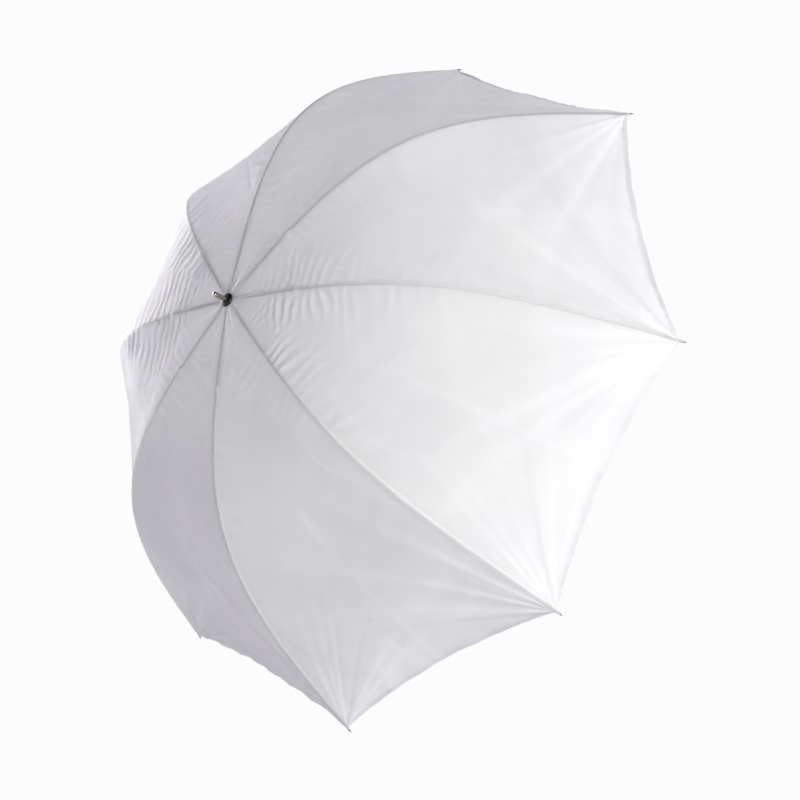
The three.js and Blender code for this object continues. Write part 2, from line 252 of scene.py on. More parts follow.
def nylon_taffeta():
    material, tree, output = new_material("white_nylon_taffeta")
    uv = add_node(tree, "ShaderNodeUVMap", uv_map="cloth")
    place = add_node(tree, "ShaderNodeSeparateXYZ", links={0: uv.outputs[0]})
    to_seam = add_node(tree, "ShaderNodeAttribute", attribute_name="to_seam")
    to_hem = add_node(tree, "ShaderNodeAttribute", attribute_name="to_hem")
    seam = stitch_line(tree, to_seam.outputs["Fac"], place.outputs["Y"], SEAM_STITCH)
    hem = stitch_line(tree, to_hem.outputs["Fac"], place.outputs["X"], HEM_STITCH)
    stitches = add_node(tree, "ShaderNodeMath", links={0: seam, 1: hem}, operation="MAXIMUM")

    # Faint cloudiness in the dye, a few hands wide. The stitches are whiter, and the seam outside
    # the stretcher joints, pressed flat and three layers thick, carries a painted highlight there.
    clouds = add_node(tree, "ShaderNodeTexNoise", {"Scale": 7.0, "Detail": 3.0}, {0: uv.outputs[0]})
    tint = add_node(tree, "ShaderNodeValToRGB", links={0: clouds.outputs["Fac"]})
    tint.color_ramp.elements[0].color = linear("#EFEDF2")
    tint.color_ramp.elements[1].color = linear("#F8F7FA")
    seam_band = add_node(tree, "ShaderNodeMapRange", {"From Min": 6.2 * MM, "From Max": 4.8 * MM},
                       {0: to_seam.outputs["Fac"]})
    outside = add_node(tree, "ShaderNodeMapRange",
                       {"From Min": 0.13, "From Max": 0.28, "To Max": 0.45},
                       {0: place.outputs["Y"]})
    # Painted highlight: the seam band past the stretcher joints is painted whiter.
    painted_seam_highlight = add_node(tree, "ShaderNodeMath",
                       links={0: seam_band.outputs[0], 1: outside.outputs[0]}, operation="MULTIPLY")
    stitches_and_seam_highlight = add_node(tree, "ShaderNodeMath",
                     links={0: stitches.outputs[0], 1: painted_seam_highlight.outputs[0]}, operation="MAXIMUM")
    colour = add_node(tree, "ShaderNodeMix", links={0: stitches_and_seam_highlight.outputs[0]}, data_type="RGBA")
    tree.links.new(tint.outputs[0], colour.inputs["A"])
    colour.inputs["B"].default_value = linear("#FFFFFF")

    # Painted shade: the colour is darker in the valley of a wrinkle and lighter on its crest.
    fold = add_node(tree, "ShaderNodeAttribute", attribute_name="fold_height")
    painted_fold_shade = add_node(tree, "ShaderNodeMapRange",
                       {"From Min": -1.0, "From Max": 1.0, "To Min": 0.965, "To Max": 1.03},
                       {0: fold.outputs["Fac"]})
    shaded = add_node(tree, "ShaderNodeVectorMath",
                      links={0: colour.outputs["Result"], "Scale": painted_fold_shade.outputs[0]},
                      operation="SCALE")

    # Bump: the weave, a fine crinkle, and the packing creases as the borders of big cells.
    warp = add_node(tree, "ShaderNodeTexWave", {"Scale": 1 / (WEAVE * 2 * math.pi)},
                    {0: uv.outputs[0]}, bands_direction="X")
    weft = add_node(tree, "ShaderNodeTexWave", {"Scale": 1 / (WEAVE * 2 * math.pi)},
                    {0: uv.outputs[0]}, bands_direction="Y")
    weave = add_node(tree, "ShaderNodeMath", links={0: warp.outputs["Fac"], 1: weft.outputs["Fac"]},
                     operation="MULTIPLY")
    woven = add_node(tree, "ShaderNodeBump", {"Strength": 0.25, "Distance": 0.02 * MM},
                     {"Height": weave.outputs[0]})
    crinkle = add_node(tree, "ShaderNodeTexNoise", {"Scale": 95.0, "Detail": 4.0, "Roughness": 0.55},
                       {0: uv.outputs[0]})
    crinkled = add_node(tree, "ShaderNodeBump", {"Strength": 0.5, "Distance": 0.35 * MM},
                        {"Height": crinkle.outputs["Fac"], "Normal": woven.outputs[0]})
    bent = add_node(tree, "ShaderNodeTexNoise", {"Scale": 5.0, "Detail": 2.0}, {0: uv.outputs[0]})
    wander = add_node(tree, "ShaderNodeVectorMath", {1: (0.05, 0.05, 0.05)},
                      {0: bent.outputs["Color"]}, operation="MULTIPLY")
    shifted = add_node(tree, "ShaderNodeVectorMath", links={0: uv.outputs[0], 1: wander.outputs[0]},
                       operation="ADD")
    cells = add_node(tree, "ShaderNodeTexVoronoi", {"Scale": 6.5}, {0: shifted.outputs[0]},
                     feature="DISTANCE_TO_EDGE")
    border = add_node(tree, "ShaderNodeMapRange", {"From Max": 0.03}, {0: cells.outputs[0]},
                      interpolation_type="SMOOTHSTEP")
    broken = add_node(tree, "ShaderNodeMapRange", {"From Min": 0.48, "From Max": 0.62},
                      {0: bent.outputs["Fac"]})
    kept = add_node(tree, "ShaderNodeMath", links={0: border.outputs[0], 1: broken.outputs[0]},
                    operation="MULTIPLY")
    creased = add_node(tree, "ShaderNodeBump", {"Strength": 0.4, "Distance": 0.6 * MM},
                       {"Height": kept.outputs[0], "Normal": crinkled.outputs[0]})
    sewn = add_node(tree, "ShaderNodeBump", {"Strength": 0.6, "Distance": 0.2 * MM},
                    {"Height": stitches.outputs[0], "Normal": creased.outputs[0]})

    cloth = add_node(tree, "ShaderNodeBsdfPrincipled",
                     {"Roughness": 0.48, "IOR": 1.53, "Specular IOR Level": 0.4,
                      "Sheen Weight": 0.15, "Sheen Roughness": 0.4},
                     {"Base Color": shaded.outputs[0], "Normal": sewn.outputs[0]})
    glow = add_node(tree, "ShaderNodeBsdfTranslucent",
                    links={"Color": shaded.outputs[0], "Normal": sewn.outputs[0]})
    mix = add_node(tree, "ShaderNodeMixShader", {0: 0.78},
                   {1: cloth.outputs[0], 2: glow.outputs[0]})
    tree.links.new(mix.outputs[0], output.inputs["Surface"])
    return material


taffeta = nylon_taffeta()
print("made", taffeta.name)

# %% [markdown]
# ## Metal and plastic
#
# The shaft and the ferrule are drawn steel with bright nickel plating. Ribs,
# stretchers, wires and rivets are pressed from zinc-plated strip, which is greyer and
# slightly cloudy. The runner, the crown, the cup and the end plug are moulded in black
# polyamide with a fine satin grain. Metals keep the default IOR; their life is in the
# roughness, which wear and the plating bath leave uneven.

# %% Metal and plastic
def metal(name, hex_code, roughness, spread, grain, bump):
    """Plated metal: one colour, with roughness and a slight relief that vary by noise."""
    material, tree, output = new_material(name)
    place = add_node(tree, "ShaderNodeTexCoord")
    noise = add_node(tree, "ShaderNodeTexNoise", {"Scale": 1 / grain, "Detail": 5.0},
                     {0: place.outputs["Object"]})
    rough = add_node(tree, "ShaderNodeMapRange",
                     {"To Min": roughness - spread, "To Max": roughness + spread},
                     {0: noise.outputs["Fac"]})
    relief = add_node(tree, "ShaderNodeBump", {"Strength": 0.3, "Distance": bump},
                      {"Height": noise.outputs["Fac"]})
    steel = add_node(tree, "ShaderNodeBsdfPrincipled",
                     {"Base Color": linear(hex_code), "Metallic": 1.0},
                     {"Roughness": rough.outputs[0], "Normal": relief.outputs[0]})
    tree.links.new(steel.outputs[0], output.inputs["Surface"])
    return material


def satin_polyamide():
    material, tree, output = new_material("black_polyamide")
    place = add_node(tree, "ShaderNodeTexCoord")
    grain = add_node(tree, "ShaderNodeTexNoise", {"Scale": 1 / (0.4 * MM), "Detail": 2.0},
                     {0: place.outputs["Object"]})
    relief = add_node(tree, "ShaderNodeBump", {"Strength": 0.25, "Distance": 0.03 * MM},
                      {"Height": grain.outputs["Fac"]})
    wear = add_node(tree, "ShaderNodeTexNoise", {"Scale": 160.0, "Detail": 3.0},
                    {0: place.outputs["Object"]})
    rough = add_node(tree, "ShaderNodeMapRange", {"To Min": 0.28, "To Max": 0.46},
                     {0: wear.outputs["Fac"]})
    plastic = add_node(tree, "ShaderNodeBsdfPrincipled",
                       {"Base Color": linear("#0F0E10"), "IOR": 1.53,
                        "Specular IOR Level": 0.35},
                       {"Roughness": rough.outputs[0], "Normal": relief.outputs[0]})
    tree.links.new(plastic.outputs[0], output.inputs["Surface"])
    return material


chrome = metal("bright_nickel_plate", "#A39E96", 0.2, 0.05, 3 * MM, 0.01 * MM)
zinc = metal("zinc_plated_strip", "#9C9EA0", 0.36, 0.08, 1.5 * MM, 0.02 * MM)
spring = metal("blued_spring_steel", "#8C8F96", 0.3, 0.06, 1.2 * MM, 0.01 * MM)
polyamide = satin_polyamide()
FINISHES = {"chromed_steel": chrome, "zinc_steel": zinc, "spring_steel": spring,
            "black_plastic": polyamide, "white_cloth": taffeta}
print("finishes:", ", ".join(m.name for m in FINISHES.values()))

# %% Finishes on the frame's own parts
slot_of = {part["node"]: part["material_slot"] for part in frame["record"]["subparts"]}
for name, part in frame["nodes"].items():
    part.data.materials.clear()
    part.data.materials.append(FINISHES[slot_of[name]])
print(len(slot_of), "parts have their finish")

# %% [markdown]
# ## The cloth panels
#
# A gore is a long triangle. Its two sides follow neighbouring ribs, and the cloth
# between them is pulled straight across, with a slight pull inwards at the middle. It
# could be simulated, but a tight canopy has one answer, so it is shaped directly: a flat
# grid is bent onto the surface between the ribs. Where the cloth passes over a rib it
# lies flat on the rib's back, and the straight span starts at the rib's edge.

# %% The surface between two ribs
CLOTH_START = 5.2 * MM           # the hole for the ferrule
CLOTH_END = RIB_LENGTH - 5 * MM  # the corner, just short of a tip's bead
SCALLOP = 17 * MM                # how far the hem rises at mid panel
SAG = 0.02                       # the middle's pull inwards, in panel widths
CLOTH_DROP = 1.0 * MM            # from the line down to the cloth, which rests on the ribs
RIB_HALF_WIDTH = 1.7 * MM
CUP_RADIUS = 9.6 * MM
CLOTH_THICKNESS = 0.2 * MM


def smooth_step(value):
    value = np.clip(value, 0, 1)
    return value * value * (3 - 2 * value)


def bow(across):
    """0 at both ribs and 1 at mid panel."""
    return 4 * across * (1 - across)


def panel_width(length):
    return 2 * line_point(length)[..., 0] * math.sin(PITCH / 2)


def panel_surface(length, across, inward):
    """A point of the panel between rib angle 0 and the next one."""
    width = panel_width(length)
    edge = np.minimum(across, 1 - across) * width
    lean = (line_point(length + MM) - line_point(length - MM))[..., 1] / (2 * MM)
    drop = CLOTH_DROP * smooth_step((length - CUP_RADIUS) / (15 * MM))
    drop = drop - lean * math.tan(PITCH / 2) * np.minimum(edge, RIB_HALF_WIDTH)
    radius, depth = np.moveaxis(line_point(length, SAG * bow(across) * width + drop + inward),
                                -1, 0)
    near = in_frame(radius, depth, 0.0)
    far = in_frame(radius, depth, PITCH)
    across = across[..., None]
    return near * (1 - across) + far * across


# %% [markdown]
# ## Wrinkles
#
# Tight nylon still shows how it was made and stretched. Sewing gathers it a little, so
# short ripples run off the seams like the rungs of a ladder, and each stretcher joint
# pushes a small tent into the cloth. It is bunched under the cup at the crown. Each tip
# pulls a fan of folds out of its corner, the hem flutters, and a soft crease down the
# middle of each panel remembers how the umbrella was rolled. Packing leaves straight
# creases across it. Each of these is a height in millimetres along the cloth's normal,
# and seeded, so that every run is the same.

# %% Soft noise and ripples
def soft_noise(x, y, size, seed):
    """Smooth noise, mostly from -1 to 1, as a sum of a few waves of random heading."""
    random = np.random.default_rng(seed)
    total = np.zeros_like(x)
    waves = 7
    for _ in range(waves):
        heading, phase = random.uniform(0, 2 * math.pi, 2)
        pitch = size * random.uniform(0.7, 1.5)
        distance = x * math.cos(heading) + y * math.sin(heading)
        total += np.sin(2 * math.pi * distance / pitch + phase)
    return total / math.sqrt(waves)


JOINT_LENGTH = np.interp(JOINT_RADIUS, line_at(STEPS)[:, 0], LENGTHS)
# How strongly the ripples stand on the near and the far side of each panel.
RIPPLES = [(0.4, 0.8), (1.0, 1.2), (0.4, 0.4), (0.3, 0.3), (0.5, 1.2), (0.9, 0.9), (0.7, 0.4),
           (0.3, 0.4)]


def ladder(length, edge, seed):
    """Ripples across a seam, every 10 to 15 mm, from the stretcher joint outwards."""
    random = np.random.default_rng(seed)
    phase = random.uniform(0, 2 * math.pi)
    start = smooth_step((length - 0.045) / 0.05)
    where = start * np.exp(-np.maximum(length - 0.2, 0) / random.uniform(0.08, 0.14))
    patchy = 0.75 + 0.5 * soft_noise(length, edge, 0.08, seed + 2)
    reach = random.uniform(0.045, 0.07)
    fade = (1 - np.exp(-edge / 0.005)) * np.exp(-(edge / reach) ** 2)
    lean = -0.36 * edge + 0.0025 * soft_noise(length, edge, 0.07, seed + 1)
    wave = np.sin(2 * math.pi * (length + lean) / (0.0085 + 0.02 * length) + phase)
    return 1.2 * where * patchy * fade * (wave + 0.35 * wave * wave)


def joint_tent(length, edge):
    """The stretcher's rivet lifts the cloth, and a crease runs off each side of it."""
    along = (length - JOINT_LENGTH) / 0.0045
    peak = 1.3 * np.exp(-along ** 2) * np.exp(-(edge / 0.006) ** 2)
    crease = 0.8 * np.exp(-np.abs(along + 60 * edge * edge)) * np.exp(-edge / 0.022)
    return peak + crease


# %% Folds at the tips and the crown
def tip_folds(from_tip, edge, seed):
    """A fan of folds out of a corner, sharp near the tip and dying out into the panel."""
    random = np.random.default_rng(seed)
    reach = np.hypot(from_tip, edge) + 1e-6
    heading = np.arctan2(edge, from_tip)
    rise = np.zeros_like(reach)
    angle = 0.06
    while angle < 1.25:
        angle += random.uniform(0.09, 0.24)
        length = random.uniform(0.07, 0.2)
        height = random.uniform(1.0, 3.4) * random.choice([1, 1, -0.7])
        bend = angle + 0.5 * random.uniform(-1, 1) * reach
        off_line = (heading - bend) * reach / (0.0016 + random.uniform(0.02, 0.05) * reach)
        rise += height * np.exp(-off_line ** 2) * np.exp(-reach / length)
    return rise * reach / (reach + 0.018)


def crown_gathers(length, across, seed):
    """Fine pleats from under the cup, each reaching a little way out."""
    random = np.random.default_rng(seed)
    rise = np.zeros_like(length)
    for _ in range(9):
        place = random.uniform(0.08, 0.92)
        spread = random.uniform(0.02, 0.055)
        reach = random.uniform(0.02, 0.09)
        height = random.uniform(0.4, 1.2)
        rise += height * np.exp(-((across - place) / spread) ** 2) * np.exp(-length / reach)
    return rise * smooth_step((length - CUP_RADIUS) / (8 * MM))


def packing_creases(length, near, far, seed):
    """Straight creases that cross the panel at all angles, each a hand or so long."""
    random = np.random.default_rng(seed)
    rise = np.zeros_like(length)
    beside = (near - far) / 2
    for _ in range(11):
        place = random.uniform(0.12, 0.6)
        middle = random.uniform(-0.8, 0.8) * place * math.tan(PITCH / 2)
        heading = random.normal(0, 0.5)
        reach, half_width = random.uniform(0.03, 0.11), random.uniform(2.0, 3.6) * MM
        height = random.uniform(0.2, 0.6) * random.choice([1, -1])
        along = (length - place) * math.cos(heading) + (beside - middle) * math.sin(heading)
        off = (beside - middle) * math.cos(heading) - (length - place) * math.sin(heading)
        off = off + 0.2 * along * along / reach
        rise += height * np.exp(-np.abs(off) / half_width) * np.exp(-(along / reach) ** 4)
    return rise


def wrinkle_height(number, length, across, to_hem):
    """Height of the cloth above its smooth surface, in metres, and the small folds alone,
    in millimetres."""
    width = panel_width(length)
    near, far = across * width, (1 - across) * width
    seed = 100 * number
    near_ripples, far_ripples = RIPPLES[number - 1]
    rise = crown_gathers(length, across, seed) + packing_creases(length, near, far, seed + 81)
    rise += near_ripples * ladder(length, near, seed + 1)
    rise += far_ripples * ladder(length, far, seed + 11)
    rise += joint_tent(length, near) + joint_tent(length, far)
    rise += (tip_folds(to_hem, near, seed + 21) + tip_folds(to_hem, far, seed + 31)) \
        * (1 - np.exp(-np.minimum(near, far) / 0.003))
    open_cloth = smooth_step(np.minimum(near, far) / 0.03)
    flutter = np.sin(2 * math.pi * near / 0.047 + number)
    flutter = flutter + soft_noise(near, to_hem, 0.05, seed + 41)
    puckers = soft_noise(near, 0.3 * to_hem, 0.016, seed + 91)
    rise += 0.5 * puckers * np.exp(-to_hem / 0.012) * open_cloth
    rise += 0.16 * soft_noise(length, near, 0.04, seed + 61) * open_cloth
    rolled = np.abs(near - far) / 2 + 0.002 * soft_noise(length, near, 0.2, seed + 71)
    rise += 0.8 * np.exp(-rolled / 0.004) * smooth_step((length - 0.2) / 0.3)
    folds = rise
    rise = rise + (0.5 * flutter * np.exp(-to_hem / 0.03)
                   + 0.9 * soft_noise(length, near, 0.15, seed + 51)) * open_cloth
    welt = smooth_step((far - 0.4 * MM) / MM) * smooth_step((5.2 * MM - far) / (0.7 * MM))
    rise += 0.22 * welt
    return rise * MM, folds


# %% [markdown]
# ## Bending the grid
#
# The grid's rows run across the panel and its columns along it. Both sides are folded
# under as a seam allowance, and the lower edge as a hem, so the grid runs on past each
# edge and turns back inside. Columns near a seam, and rows near the hem, keep a fixed
# distance from it, to hold the fold, the rib's edge and the stitches; the others are
# spread over the rest, closer together towards the seams. Near the crown and in the
# corners there is no room for the allowances, so they shrink.

# %% Rows and columns of a panel
ROWS = 230
COLUMNS = 120
SEAM_HALF_GAP = 0.05
SEAM_EDGE = [0.21, 0.9, 1.7, 2.6, 3.6, 4.4, 5.0, 5.7, 6.5]
HEM_EDGE = [0.21, 1.5, 3.2, 5.0, 6.8, 8.2, 9.6, 12.0]
NEAR_ALLOWANCE = 2.0             # the near side is trimmed, and the far side is folded
FAR_ALLOWANCE = 5.6              # over it and holds the stitches
HEM_ALLOWANCE = 9.0
FOLD_TURN = [(0.06, 0.36), (0.0, 0.21), (0.06, 0.06)]
FOLD_DEPTH = 0.42


def edge_profile(allowance, surface):
    """(distance from the edge, depth) in millimetres, from the raw edge inside, round
    the fold, to the surface."""
    inside = [(share * allowance, FOLD_DEPTH) for share in (1, 0.7, 0.4, 0.15)]
    return inside + [(0.21, FOLD_DEPTH)] + FOLD_TURN + [(place, 0.0) for place in surface]


left = edge_profile(NEAR_ALLOWANCE, SEAM_EDGE)
right = edge_profile(FAR_ALLOWANCE, SEAM_EDGE)[::-1]
hem_side = edge_profile(HEM_ALLOWANCE, HEM_EDGE)[::-1]
spread = np.linspace(0, 1, COLUMNS + 2)[1:-1]
spread = spread - 0.1 * np.sin(2 * math.pi * spread)
column_kind = np.array([-1] * len(left) + [0] * COLUMNS + [1] * len(right))
column_share = np.array([0.0] * len(left) + list(spread) + [0.0] * len(right))
column_edge = np.array([d for d, _ in left] + [0.0] * COLUMNS + [d for d, _ in right]) * MM
column_deep = np.array([d for _, d in left] + [0.0] * COLUMNS + [d for _, d in right]) * MM
down = np.linspace(0, 1, ROWS + 1)[:-1]
row_share = np.concatenate([down, np.ones(len(hem_side))])
row_edge = np.array([HEM_EDGE[-1]] * ROWS + [d for d, _ in hem_side]) * MM
row_deep = np.array([0.0] * ROWS + [d for _, d in hem_side]) * MM
print("a panel's grid:", len(row_share), "rows and", len(column_share), "columns")


def spread_across(kind, share, edge, width, shrink):
    """Share of the way across the panel for each column, where the panel has a width."""
    step = (edge + SEAM_HALF_GAP * MM) * shrink / width
    margin = (SEAM_EDGE[-1] + SEAM_HALF_GAP) * MM * shrink / width
    middle = margin + (1 - 2 * margin) * share
    return np.where(kind < 0, step, np.where(kind > 0, 1 - step, middle))


def panel_grid(number):
    """Positions of a panel's grid points, with what the material needs and each point's share of the
    way across.
    """
    rows, columns = np.meshgrid(np.arange(len(row_share)), np.arange(len(column_share)),
                                indexing="ij")
    kind, share = column_kind[columns], column_share[columns]
    edge, deep = column_edge[columns], column_deep[columns]
    full = panel_width(CLOTH_END)
    side = spread_across(kind, share, edge, full, 1.0)
    hem = CLOTH_END - SCALLOP * bow(side) + 0.6 * MM * bow(side) * soft_noise(
        side * full, np.zeros_like(side), 0.05, number)
    from_tip = np.hypot(np.minimum(side, 1 - side) * full, RIB_LENGTH - hem)
    corner = np.clip((from_tip - 5 * MM) / (15 * MM), 0.25, 1)
    inner = hem - HEM_EDGE[-1] * MM * corner
    length = np.where(row_share[rows] < 1, CLOTH_START + (inner - CLOTH_START) * row_share[rows],
                      hem - row_edge[rows] * corner)
    width = panel_width(length)
    shrink = np.minimum(1, 0.36 * width / (SEAM_EDGE[-1] * MM)) \
        * np.clip((RIB_LENGTH - length - 5 * MM) / (15 * MM), 0.25, 1)
    across = spread_across(kind, share, edge, width, shrink)
    to_hem = np.maximum(hem - length, 0)
    rise, folds = wrinkle_height(number, length, across, to_hem)
    inward = deep * shrink + row_deep[rows] * corner - rise
    return panel_surface(length, across, inward), across, length, width, to_hem, folds


# %% Sew a panel
def sew_panel(number):
    """One panel of cloth, from a flat grid to its place between two ribs."""
    points, across, length, width, to_hem, folds = panel_grid(number)
    last_row, last_column = len(row_share) - 1, len(column_share) - 1
    cloth = bmesh.new()
    bmesh.ops.create_grid(cloth, x_segments=last_column, y_segments=last_row, size=1)
    cloth.verts.ensure_lookup_table()
    flat = np.array([v.co for v in cloth.verts])
    column = np.rint((flat[:, 0] + 1) / 2 * last_column).astype(int)
    row = np.rint((flat[:, 1] + 1) / 2 * last_row).astype(int)
    for vertex, place in zip(cloth.verts, points[row, column]):
        vertex.co = place
    panel = piece_from(cloth, f"cloth_gore_{number}", taffeta, sharp_angle=180)
    mesh = panel.data
    mesh.transform(Matrix.Rotation((number - 1) * PITCH, 4, "Y"))
    for name, values in (("to_seam", (1 - across) * width), ("to_hem", to_hem),
                         ("share_across", across), ("fold_height", folds)):
        layer = mesh.attributes.new(name, "FLOAT", "POINT")
        layer.data.foreach_set("value", values[row, column].astype(np.float32))
    corner = np.zeros(len(mesh.loops), int)
    mesh.loops.foreach_get("vertex_index", corner)
    chart = np.stack([(across * width + number)[row, column], length[row, column]], axis=1)
    uv = mesh.uv_layers.new(name="cloth")
    uv.data.foreach_set("uv", chart[corner].astype(np.float32).ravel())
    return panel


def outward(panel):
    """Turns a panel's faces so that they look away from the inside of the canopy."""
    count = len(panel.data.polygons)
    normals, centres = np.zeros(count * 3), np.zeros(count * 3)
    panel.data.polygons.foreach_get("normal", normals)
    panel.data.polygons.foreach_get("center", centres)
    away = centres.reshape(-1, 3) - np.array([0, APEX_Y + 0.35, 0])
    if np.sum(normals.reshape(-1, 3) * away) < 0:
        panel.data.flip_normals()


panels = []
for number in range(1, RIBS + 1):
    panel = sew_panel(number)
    outward(panel)
    wall = panel.modifiers.new("cloth_thickness", "SOLIDIFY")
    wall.thickness = CLOTH_THICKNESS
    wall.offset = -1
    panels.append(panel)

# %% [markdown]
# ## Panels in place
#
# The near edge of a panel lies on its own rib, and the far edge on the next rib, which the
# frame's pleat hinge follows. A straight blend between them can't follow a fan. Each panel's
# place is baked into its mesh, its share of the way across is read and then removed, and
# the frame's gore that it stands for is hidden.

# %% Place the panels and hide the frame's gores
for number, panel in enumerate(panels, start=1):
    start = in_frame(0.3, 0.1, (number - 1) * PITCH)
    end = in_frame(0.3, 0.1, number * PITCH)
    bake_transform(panel)
    share = np.zeros(len(panel.data.vertices), np.float32)
    panel.data.attributes["share_across"].data.foreach_get("value", share)
    panel.data.attributes.remove(panel.data.attributes["share_across"])
    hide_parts(f"gore_{number}")
print(len(panels), "panels sewn")

# %% [markdown]
# ## Ribs
#
# A rib is a strip of steel rolled into a channel, its closed side towards the cloth, so
# that it is stiff and yet springs into its curve. At the crown the channel is pinched
# flat, bent down and pierced with an eye, which turns on the crown's wire. The frame's
# rib is made of straight steps; here the channel's section is extruded in short steps
# along the line, so the curve is smooth, and it is pinched over the first few.

# %% Roll a rib
RIB_MIDDLE = 2.9 * MM            # from the line in to the middle of the section
RIB_STOP = RIB_LENGTH - 20 * MM
PINCH_END = 34 * MM
HINGE = np.array([9, 7]) * MM    # the eye's distance from the shaft and depth
CHANNEL = [(-1.5, 1.3), (-1.5, -0.95), (-1.15, -1.3), (1.15, -1.3), (1.5, -0.95), (1.5, 1.3),
           (1.05, 1.3), (1.05, -0.75), (0.9, -0.85), (-0.9, -0.85), (-1.05, -0.75), (-1.05, 1.3)]
PINCHED = [(-0.6, 1.0), (-0.6, -0.8), (-0.4, -1.0), (0.4, -1.0), (0.6, -0.8), (0.6, 1.0),
           (0.1, 1.0), (0.1, -0.6), (0.06, -0.7), (-0.06, -0.7), (-0.1, -0.6), (-0.1, 1.0)]
WIDTH_AT = [34, 45, 95, 112, 140, 165]    # lengths, in millimetres, at which the strip's
WIDTH_SHARE = [1.0, 1.3, 1.3, 1.0, 1.0, 0.7]    # width is this share of the channel's


def rib_centre(length):
    """The middle of the rib's section: on the line, or bent down towards the eye."""
    on_line = line_point(length, RIB_MIDDLE)
    bend = 1 - smooth_step((length - HINGE[0]) / (PINCH_END - HINGE[0]))
    drop = (HINGE[1] - line_point(HINGE[0], RIB_MIDDLE)[1]) * bend
    return on_line + np.array([0, drop])


def sweep(steel, lengths, centre_at, section_at):
    """Extrudes a section along a centre line in the first rib's plane."""
    rings = []
    for length in lengths:
        ahead = centre_at(length + 0.2 * MM) - centre_at(length - 0.2 * MM)
        along = ahead / np.linalg.norm(ahead)
        inward = np.array([-along[1], along[0]])
        places = [(x, centre_at(length) + inward * y * MM) for x, y in section_at(length)]
        rings.append([Vector((x * MM, APEX_Y + p[1], p[0])) for x, p in places])
    end = steel.faces.new([steel.verts.new(place) for place in rings[0]])
    for before, after in zip(rings, rings[1:]):
        made = bmesh.ops.extrude_face_region(steel, geom=[end])
        end = next(g for g in made["geom"] if isinstance(g, bmesh.types.BMFace))
        for corner in end.verts:
            nearest = min(range(len(before)), key=lambda i: (corner.co - before[i]).length)
            corner.co = after[nearest]


def rib_section(length):
    open_up = float(smooth_step((length - 16 * MM) / (PINCH_END - 16 * MM)))
    widen = float(np.interp(length / MM, WIDTH_AT, WIDTH_SHARE))
    return [(px + (cx * widen - px) * open_up, py + (cy - py) * open_up)
            for (px, py), (cx, cy) in zip(PINCHED, CHANNEL)]


def wire_eye(steel, centre, outer, hole, thickness):
    """A flat ring that turns on a wire: radius and depth of its centre, in metres."""
    place = Matrix.Translation((0, APEX_Y + centre[1], centre[0])) @ Matrix.Rotation(
        math.pi / 2, 4, "Y")
    rims = [bmesh.ops.create_circle(steel, segments=32, radius=r, matrix=place)["verts"]
            for r in (outer, hole)]
    edges = list({e for rim in rims for v in rim for e in v.link_edges})
    disc = bmesh.ops.bridge_loops(steel, edges=edges)["faces"]
    bmesh.ops.translate(steel, verts=list({v for f in disc for v in f.verts}),
                        vec=(-thickness / 2, 0, 0))
    raised = bmesh.ops.extrude_face_region(steel, geom=disc, use_keep_orig=True)["geom"]
    bmesh.ops.translate(steel, verts=[g for g in raised if isinstance(g, bmesh.types.BMVert)],
                        vec=(thickness, 0, 0))


def rolled_rib():
    steel = bmesh.new()
    pinched = np.linspace(HINGE[0] + 1.5 * MM, PINCH_END, 14)
    channel = np.linspace(PINCH_END, RIB_STOP, 64)[1:]
    sweep(steel, np.concatenate([pinched, channel]), rib_centre, rib_section)
    wire_eye(steel, HINGE, 2 * MM, 0.95 * MM, 1.2 * MM)
    bmesh.ops.recalc_face_normals(steel, faces=steel.faces)
    return steel


steel = rolled_rib()
print("rib faces:", len(steel.faces), "open edges:", sum(e.is_boundary for e in steel.edges))
first_rib = piece_from(steel, "steel_rib_1", zinc, sharp_angle=40)
for number, rib in ring_of_copies(first_rib, "steel_rib"):
    stand_in(rib, f"rib_{number}", f"rib_{number}", "zinc_steel")
print(RIBS, "ribs")

# %% [markdown]
# ## Rib tips
#
# The end of each rib is a little turned point: a socket that grips the channel, a
# slender stem that passes through the cloth's corner, and a bead that stops the cloth
# from slipping off. Turned parts are spun from half of their outline.

# %% Turn the points
TIP_FROM = line_point(RIB_STOP, RIB_MIDDLE)
TIP_TO = line_point(RIB_LENGTH, 1 * MM)
BEAD = np.linalg.norm(TIP_TO - TIP_FROM) / MM
POINT = [(0, 0.3), (1.0, 0.3), (1.25, 0.5), (1.25, 6.6), (1.15, 7.2), (0.92, 8.2), (0.85, 8.9),
         (0.85, BEAD - 2.4), (0.95, BEAD - 2.0), (1.2, BEAD - 1.4), (1.35, BEAD - 0.6),
         (1.38, BEAD + 0.1), (1.25, BEAD + 0.8), (0.95, BEAD + 1.4), (0.72, BEAD + 1.8),
         (0.66, BEAD + 2.6), (0.62, BEAD + 3.9), (0.45, BEAD + 4.3), (0, BEAD + 4.5)]


def spun(outline, steps):
    """A solid of revolution about +Z from (radius, height) points in millimetres."""
    stock = bmesh.new()
    points = [stock.verts.new((r * MM, 0, h * MM)) for r, h in outline]
    edges = [stock.edges.new(pair) for pair in zip(points, points[1:])]
    bmesh.ops.spin(stock, geom=points + edges, axis=(0, 0, 1), cent=(0, 0, 0),
                   angle=2 * math.pi, steps=steps, use_merge=True)
    bmesh.ops.remove_doubles(stock, verts=stock.verts, dist=1e-7)
    bmesh.ops.recalc_face_normals(stock, faces=stock.faces)
    return stock


aim = Vector((0, TIP_TO[1] - TIP_FROM[1], TIP_TO[0] - TIP_FROM[0]))
stand = Matrix.Translation((0, APEX_Y + TIP_FROM[1], TIP_FROM[0])) @ \
    aim.to_track_quat("Z", "X").to_matrix().to_4x4()
point = spun(POINT, 24)
bmesh.ops.transform(point, matrix=stand, verts=point.verts)
first_point = piece_from(point, "turned_point_1", zinc, sharp_angle=50)
for number, point in ring_of_copies(first_point, "turned_point"):
    stand_in(point, f"rib_{number}", f"rib_tip_{number}", "zinc_steel")
print("points of", round(aim.length / MM, 1), "mm to the bead")

